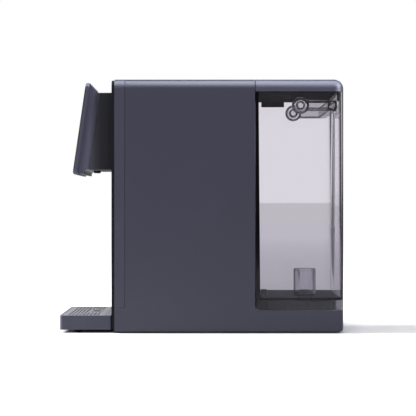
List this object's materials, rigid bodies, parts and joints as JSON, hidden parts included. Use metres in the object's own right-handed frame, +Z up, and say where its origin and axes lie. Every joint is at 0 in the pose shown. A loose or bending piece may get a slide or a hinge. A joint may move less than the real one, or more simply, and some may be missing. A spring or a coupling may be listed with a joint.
{
  "type": "countertop water purifier",
  "caption": "Slim countertop reverse osmosis purifier: dark column with a leaning control head and spout over a drip tray, and a lift-out smoky clear tank with a lid and swing handle behind.",
  "frame": {"origin": "on the counter, under the middle of the whole footprint", "axes": "+Z up, +X to the right side as seen in the picture's view direction, +Y from the drip tray at the front to the water tank at the rear"},
  "size_m": [0.195, 0.428, 0.382],
  "materials": {
    "slate_plastic": "fine satin moulded plastic, dark slate grey",
    "black_plastic": "satin black moulded plastic",
    "black_glass": "black printed touch glass, gloss",
    "smoke_clear": "smoky clear moulded polymer",
    "grille_plastic": "grey satin moulded plastic",
    "rubber": "matt black rubber",
    "silicone": "milky silicone",
    "ivory_plastic": "natural moulded plastic",
    "cartridge_plastic": "white moulded cartridge shell",
    "cistern_plastic": "natural milky plastic",
    "steel": "zinc plated steel",
    "motor_can": "plated drawn steel can",
    "aluminium": "plain aluminium",
    "valve_coil": "moulded coil, blue grey",
    "circuit_board": "green circuit board"
  },
  "bodies": {
    "purifier": {"body_housing": "slate_plastic", "front_cover": "slate_plastic", "front_plate": "black_plastic", "base_plate": "black_plastic", "rubber_feet": "rubber", "base_screws": "steel", "head_housing": "black_plastic", "head_panel": "slate_plastic", "touch_glass": "black_glass", "display_board": "circuit_board", "spout_nozzle": "black_plastic", "inner_frame": "ivory_plastic", "filter_manifold": "ivory_plastic", "tds_probe": "black_plastic", "pump_head": "black_plastic", "pump_motor": "motor_can", "pump_bracket": "steel", "pump_mounts": "rubber", "inlet_valve": "valve_coil", "drain_valve": "valve_coil", "pure_water_cistern": "cistern_plastic", "cistern_lid": "cistern_plastic", "delivery_pump": "black_plastic", "heater": "aluminium", "heater_clips": "ivory_plastic", "power_supply": "aluminium", "control_board": "circuit_board", "mains_inlet": "black_plastic", "tank_plinth": "black_plastic", "dock_socket": "black_plastic", "dock_seal": "rubber", "return_socket": "black_plastic", "feed_tube": "silicone", "pump_inlet_tube": "silicone", "pressure_tube": "silicone", "pure_tube": "silicone", "hot_tube": "silicone", "spout_tube": "silicone", "concentrate_tube": "silicone", "return_tube": "silicone"},
    "tank": {"tank_shell": "smoke_clear", "handle_pins": "smoke_clear", "standpipe": "smoke_clear", "outlet_valve_body": "black_plastic", "return_valve": "black_plastic"},
    "valve": {"valve_poppet": "silicone", "valve_spring": "steel"},
    "lid": {"lid_cap": "slate_plastic", "lid_liner": "black_plastic", "lid_clips": "black_plastic"},
    "handle": {"carry_handle": "smoke_clear"},
    "tray": {"drip_tray": "slate_plastic", "tray_feet": "rubber"},
    "grille": {"drip_grille": "grille_plastic"},
    "hatch": {"top_hatch": "slate_plastic"},
    "prefilter": {"prefilter_cartridge": "cartridge_plastic", "prefilter_seal": "rubber"},
    "membrane": {"membrane_cartridge": "cartridge_plastic", "membrane_seal": "rubber"}
  },
  "joints": [
    {"name": "tank_lift", "type": "slide", "parent": "purifier", "child": "tank", "axis": [0, 0, 1], "range_m": [0, 0.36]},
    {"name": "lid_lift", "type": "slide", "parent": "tank", "child": "lid", "axis": [0, 0, 1], "range_m": [0, 0.15]},
    {"name": "handle_swing", "type": "hinge", "parent": "tank", "child": "handle", "pos_m": [0, 0.149, 0.3427], "axis": [1, 0, 0], "range_deg": [0, 90]},
    {"name": "valve_drop", "type": "slide", "parent": "tank", "child": "valve", "axis": [0, 0, -1], "range_m": [0, 0.004], "deforming": ["valve_spring"]},
    {"name": "tray_slide", "type": "slide", "parent": "purifier", "child": "tray", "axis": [0, -1, 0], "range_m": [0, 0.06]},
    {"name": "grille_lift", "type": "slide", "parent": "tray", "child": "grille", "axis": [0, 0, 1], "range_m": [0, 0.05]},
    {"name": "hatch_lift", "type": "slide", "parent": "purifier", "child": "hatch", "axis": [0, 0, 1], "range_m": [0, 0.06]},
    {"name": "prefilter_twist", "type": "hinge", "parent": "purifier", "child": "prefilter", "pos_m": [-0.046, 0.029, 0.2], "axis": [0, 0, 1], "range_deg": [0, 60]},
    {"name": "membrane_twist", "type": "hinge", "parent": "purifier", "child": "membrane", "pos_m": [0.046, 0.029, 0.2], "axis": [0, 0, 1], "range_deg": [0, 60]}
  ],
  "couplings": [
    {"joint": "handle_swing", "follows": "lid_lift", "rad_per_m": 10.472},
    {"joint": "valve_drop", "follows": "tank_lift", "ratio": 0.011111}
  ]
}
